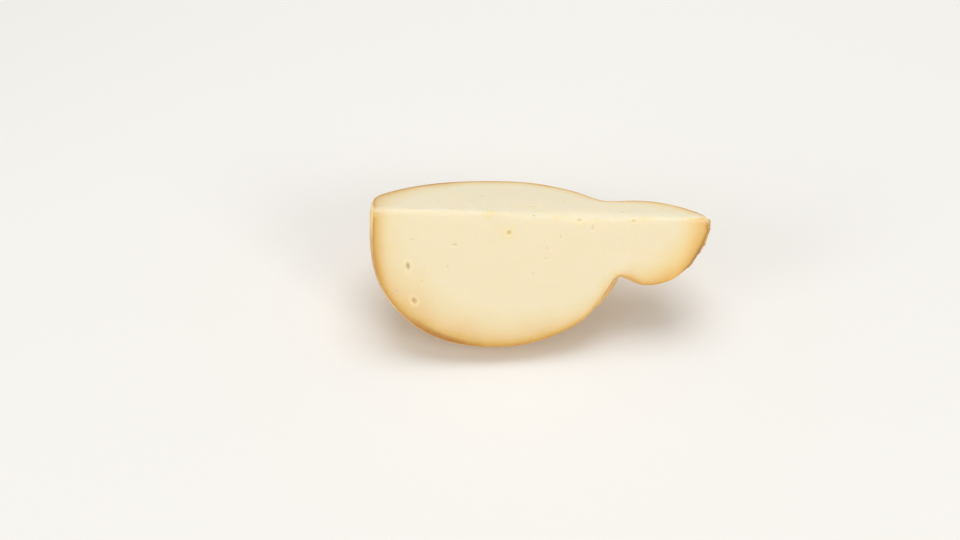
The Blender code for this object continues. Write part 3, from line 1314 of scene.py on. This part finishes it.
def make_floor():
    """A wide pale sheet that glows more the farther it is from the piece."""
    bm = bmesh.new()
    bmesh.ops.create_grid(bm, x_segments=1, y_segments=1, size=FLOOR_REACH)
    floor = new_piece("floor", bm)
    made, tree, shader = new_material("pale_floor", FLOOR_FINISH)
    coordinates = add(tree, "ShaderNodeTexCoord")
    away = add(tree, "ShaderNodeVectorMath", operation="LENGTH")
    tree.links.new(coordinates.outputs["Object"], away.inputs[0])
    glow = map_range(tree, away.outputs["Value"], (0.0, GLOW_FULL), WHOLE)
    glow.node.interpolation_type = "SMOOTHSTEP"
    tree.links.new(mix_colour(tree, glow, NO_GLOW, FAR_GLOW), shader.inputs["Emission Color"])
    floor.data.materials.append(made)
    floor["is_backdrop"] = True


make_floor()
print("floor, metres across:", 2 * FLOOR_REACH)

# %% Lamps
PIECE_MIDDLE = Vector((0.0, 0.0, 0.03))
WARM = (1.0, 0.98, 0.95)
NEUTRAL = (1.0, 1.0, 1.0)
COOL = (0.94, 0.97, 1.0)
ALL_ROUND = radians(180)
WITH_GRID = radians(70)


def aim(thing, target):
    """Turn a lamp or a camera, which both look along their own -Z, towards a target."""
    thing.rotation_euler = (target - thing.location).to_track_quat("-Z", "Y").to_euler()


def lamp(name, place, size, watts, colour, spread):
    """A round soft lamp that shines on the piece."""
    data = bpy.data.lights.new(name, "AREA")
    data.shape = "DISK"
    data.size = size
    data.energy = watts
    data.color = colour
    data.spread = spread
    made = put_in_scene(name, data)
    made.location = place
    aim(made, PIECE_MIDDLE)


lamp("key", (0.75, -0.95, 0.85), size=0.7, watts=5.4, colour=WARM, spread=ALL_ROUND)
lamp("overhead", (0.0, 0.25, 1.3), size=1.0, watts=9.5, colour=COOL, spread=ALL_ROUND)
lamp("fill", (-1.0, -0.5, 0.5), size=0.8, watts=0.75, colour=NEUTRAL, spread=WITH_GRID)
print("lamps, watts:", [(light.name, round(light.energy, 2)) for light in bpy.data.lights])

# %% Room
ROOM_LIGHT = 0.43
ROOM_SEEN = 0.84
ROOM_COLOUR = (1.0, 0.99, 0.97, 1.0)


def make_room():
    """Soft light from all round. What is seen of it past the floor is as pale as the floor."""
    world = bpy.data.worlds.new("studio")
    world.use_nodes = True
    tree = world.node_tree
    background = tree.nodes["Background"]
    background.inputs["Color"].default_value = ROOM_COLOUR
    seen = add(tree, "ShaderNodeLightPath").outputs["Is Camera Ray"]
    strength = map_range(tree, seen, WHOLE, (ROOM_LIGHT, ROOM_SEEN))
    tree.links.new(strength, background.inputs["Strength"])
    bpy.context.scene.world = world


make_room()
bpy.context.scene.view_settings.view_transform = "Standard"
print("light of the room, and what is seen of it:", ROOM_LIGHT, ROOM_SEEN)

# %% Camera
LOOK_AT = Vector((-0.0338, -0.0118, 0.030))
CAMERA_AZIMUTH = radians(-1.83)
CAMERA_ELEVATION = radians(46.0)
CAMERA_DISTANCE = 0.8297
CAMERA_LENS = 52.5
SENSOR_WIDTH = 36.0

camera = put_in_scene("camera", bpy.data.cameras.new("camera"))
toward = Vector((
    sin(CAMERA_AZIMUTH) * cos(CAMERA_ELEVATION),
    -cos(CAMERA_AZIMUTH) * cos(CAMERA_ELEVATION),
    sin(CAMERA_ELEVATION),
))
camera.location = LOOK_AT + toward * CAMERA_DISTANCE
aim(camera, LOOK_AT)
camera.data.lens = CAMERA_LENS
camera.data.sensor_width = SENSOR_WIDTH
bpy.context.scene.camera = camera
print("camera at, mm:", [round(1000 * side) for side in camera.location])

# %% [markdown]
# ## Measure and finish
#
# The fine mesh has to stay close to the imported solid, so the boxes of both are written down.

# %% Boxes
boxes = {
    "cad": [list(corner) for corner in cad_box],
    "visual": [list(corner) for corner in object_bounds()],
}
for name, (low, high) in boxes.items():
    print(name, "box, mm:", [round(1000 * (b - a), 1) for a, b in zip(low, high)])
